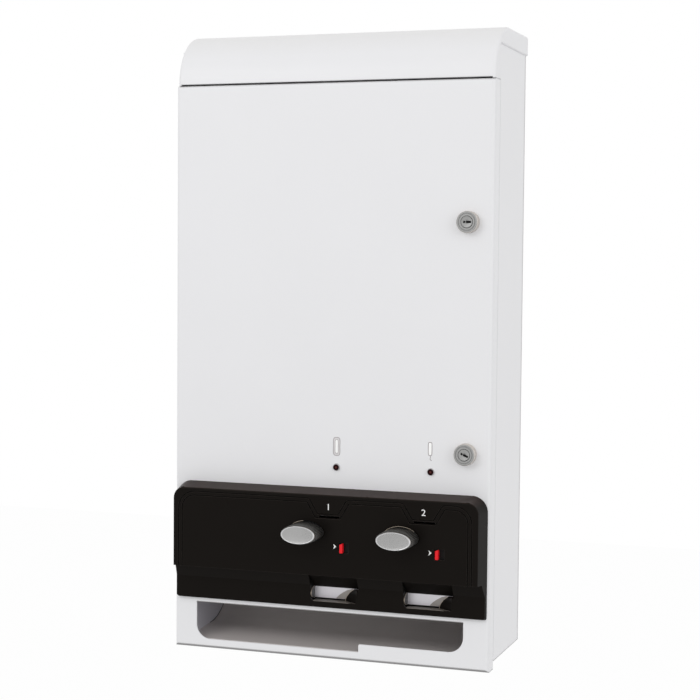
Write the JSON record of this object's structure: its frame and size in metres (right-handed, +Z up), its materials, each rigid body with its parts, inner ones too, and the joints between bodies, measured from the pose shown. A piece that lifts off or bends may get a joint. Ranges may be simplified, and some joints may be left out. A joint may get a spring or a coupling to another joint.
{
  "type": "tampon and pad dispenser",
  "caption": "Wall cabinet with a hinged door, oval coin knobs, red return buttons, coin cups, cam locks and a tray that packs drop into.",
  "frame": {"origin": "in the wall plane, at the middle of the wall screw holes", "axes": "+Z up, +Y into the wall, +X to the right as seen from the front"},
  "size_m": [0.3642, 0.182, 0.6736],
  "materials": {
    "enamel": "smooth white baked enamel on folded steel sheet",
    "bezel_black": "black moulded cover, semi-gloss",
    "plated_steel": "zinc-plated sheet steel",
    "tray_steel": "satin grey sheet steel",
    "hinge_steel": "bright hinge steel",
    "knob_black": "die cast, dark fluted side",
    "knob_satin": "satin face with a raised rim",
    "shaft_steel": "turned steel",
    "brass": "turned brass",
    "red_plastic": "red moulded plastic",
    "flap_steel": "thin steel flap",
    "lens_clear": "clear moulded window",
    "lock_chrome": "satin chrome",
    "follower_plastic": "black moulded followers, slides and cups",
    "screw_steel": "zinc-plated screws",
    "spring_steel": "spring wire"
  },
  "bodies": {
    "root": {"cabinet_shell": "enamel", "back_panel": "enamel", "front_strips": "enamel", "hood_frame": "enamel", "hood": "enamel", "hinge_cabinet_leaf": "hinge_steel", "hinge_pin": "hinge_steel", "product_tray": "tray_steel", "drop_baffle": "plated_steel", "pad_magazine": "plated_steel", "tampon_magazine": "plated_steel", "magazine_screws": "screw_steel", "flag_springs": "spring_steel"},
    "door": {"door_pan": "enamel", "bezel": "bezel_black", "hinge_door_leaf": "hinge_steel", "bezel_screws": "screw_steel", "mech_screws": "screw_steel", "pad_mech_frame": "plated_steel", "tampon_mech_frame": "plated_steel", "knob_springs": "spring_steel", "indicator_lenses": "lens_clear", "pad_return_cup": "follower_plastic", "tampon_return_cup": "follower_plastic", "coin_runway": "plated_steel", "coin_box_shelf": "plated_steel", "lock_nuts": "screw_steel", "upper_lock_body": "lock_chrome", "lower_lock_body": "lock_chrome", "knob_bushes": "brass", "button_springs": "spring_steel"},
    "coin_box": {"coin_box": "plated_steel"},
    "pad_spindle": {"pad_knob": "knob_black", "pad_knob_face": "knob_satin", "pad_knob_shaft": "shaft_steel", "pad_coin_wheel": "brass", "pad_vend_cam": "brass"},
    "pad_rocker": {"pad_rocker": "shaft_steel"},
    "pad_flag": {"pad_stock_flag": "red_plastic"},
    "pad_follower": {"pad_follower": "follower_plastic"},
    "pad_button": {"pad_return_button": "red_plastic", "pad_reject_slide": "follower_plastic"},
    "pad_flap": {"pad_return_flap": "flap_steel"},
    "tampon_spindle": {"tampon_knob": "knob_black", "tampon_knob_face": "knob_satin", "tampon_knob_shaft": "shaft_steel", "tampon_coin_wheel": "brass", "tampon_vend_cam": "brass"},
    "tampon_rocker": {"tampon_rocker": "shaft_steel"},
    "tampon_flag": {"tampon_stock_flag": "red_plastic"},
    "tampon_follower": {"tampon_follower": "follower_plastic"},
    "tampon_button": {"tampon_return_button": "red_plastic", "tampon_reject_slide": "follower_plastic"},
    "tampon_flap": {"tampon_return_flap": "flap_steel"},
    "upper_lock": {"upper_lock_plug": "lock_chrome", "upper_lock_cam": "plated_steel"},
    "lower_lock": {"lower_lock_plug": "lock_chrome", "lower_lock_cam": "plated_steel"}
  },
  "joints": [
    {"name": "door_swing", "type": "hinge", "parent": "root", "child": "door", "pos_m": [-0.1811, -0.1123, 0], "axis": [0, 0, -1], "range_deg": [0, 120]},
    {"name": "coin_box_lift", "type": "slide", "parent": "door", "child": "coin_box", "axis": [0, 0, 1], "range_m": [0, 0.12]},
    {"name": "pad_knob_turn", "type": "hinge", "parent": "door", "child": "pad_spindle", "pos_m": [-0.016, -0.132, -0.1956], "axis": [0, 1, 0], "range_deg": [0, 120], "stiffness_Nm_per_rad": 0.03, "springref_deg": -17.19},
    {"name": "pad_rocker_tip", "type": "hinge", "parent": "root", "child": "pad_rocker", "pos_m": [-0.016, -0.0845, -0.186], "axis": [-1, 0, 0], "range_deg": [0, 26]},
    {"name": "pad_flag_swing", "type": "hinge", "parent": "root", "child": "pad_flag", "pos_m": [0.0093, -0.085, -0.1285], "axis": [1, 0, 0], "range_deg": [0, 30], "stiffness_Nm_per_rad": 0.002, "springref_deg": -22.92},
    {"name": "pad_follower_slide", "type": "slide", "parent": "root", "child": "pad_follower", "axis": [0, 0, 1], "range_m": [0, 0.4]},
    {"name": "pad_return_push", "type": "slide", "parent": "door", "child": "pad_button", "axis": [1, 0, 0], "range_m": [0, 0.0045], "stiffness_N_per_m": 200, "springref_m": -0.002},
    {"name": "pad_flap_swing", "type": "hinge", "parent": "door", "child": "pad_flap", "pos_m": [0.0093, -0.123, -0.2582], "axis": [1, 0, 0], "range_deg": [0, 35]},
    {"name": "tampon_knob_turn", "type": "hinge", "parent": "door", "child": "tampon_spindle", "pos_m": [0.0887, -0.132, -0.1956], "axis": [0, 1, 0], "range_deg": [0, 120], "stiffness_Nm_per_rad": 0.03, "springref_deg": -17.19},
    {"name": "tampon_rocker_tip", "type": "hinge", "parent": "root", "child": "tampon_rocker", "pos_m": [0.0887, -0.0845, -0.186], "axis": [-1, 0, 0], "range_deg": [0, 26]},
    {"name": "tampon_flag_swing", "type": "hinge", "parent": "root", "child": "tampon_flag", "pos_m": [0.114, -0.085, -0.1285], "axis": [1, 0, 0], "range_deg": [0, 30], "stiffness_Nm_per_rad": 0.002, "springref_deg": -22.92},
    {"name": "tampon_follower_slide", "type": "slide", "parent": "root", "child": "tampon_follower", "axis": [0, 0, 1], "range_m": [0, 0.4]},
    {"name": "tampon_return_push", "type": "slide", "parent": "door", "child": "tampon_button", "axis": [1, 0, 0], "range_m": [0, 0.0045], "stiffness_N_per_m": 200, "springref_m": -0.002},
    {"name": "tampon_flap_swing", "type": "hinge", "parent": "door", "child": "tampon_flap", "pos_m": [0.114, -0.123, -0.2582], "axis": [1, 0, 0], "range_deg": [0, 35]},
    {"name": "upper_lock_turn", "type": "hinge", "parent": "door", "child": "upper_lock", "pos_m": [0.1519, -0.132, 0.1323], "axis": [0, -1, 0], "range_deg": [0, 90]},
    {"name": "lower_lock_turn", "type": "hinge", "parent": "door", "child": "lower_lock", "pos_m": [0.1519, -0.132, -0.1081], "axis": [0, -1, 0], "range_deg": [0, 90]}
  ],
  "couplings": [
    {"joint": "pad_rocker_tip", "follows": "pad_knob_turn", "ratio": 0.21667},
    {"joint": "tampon_rocker_tip", "follows": "tampon_knob_turn", "ratio": 0.21667}
  ]
}
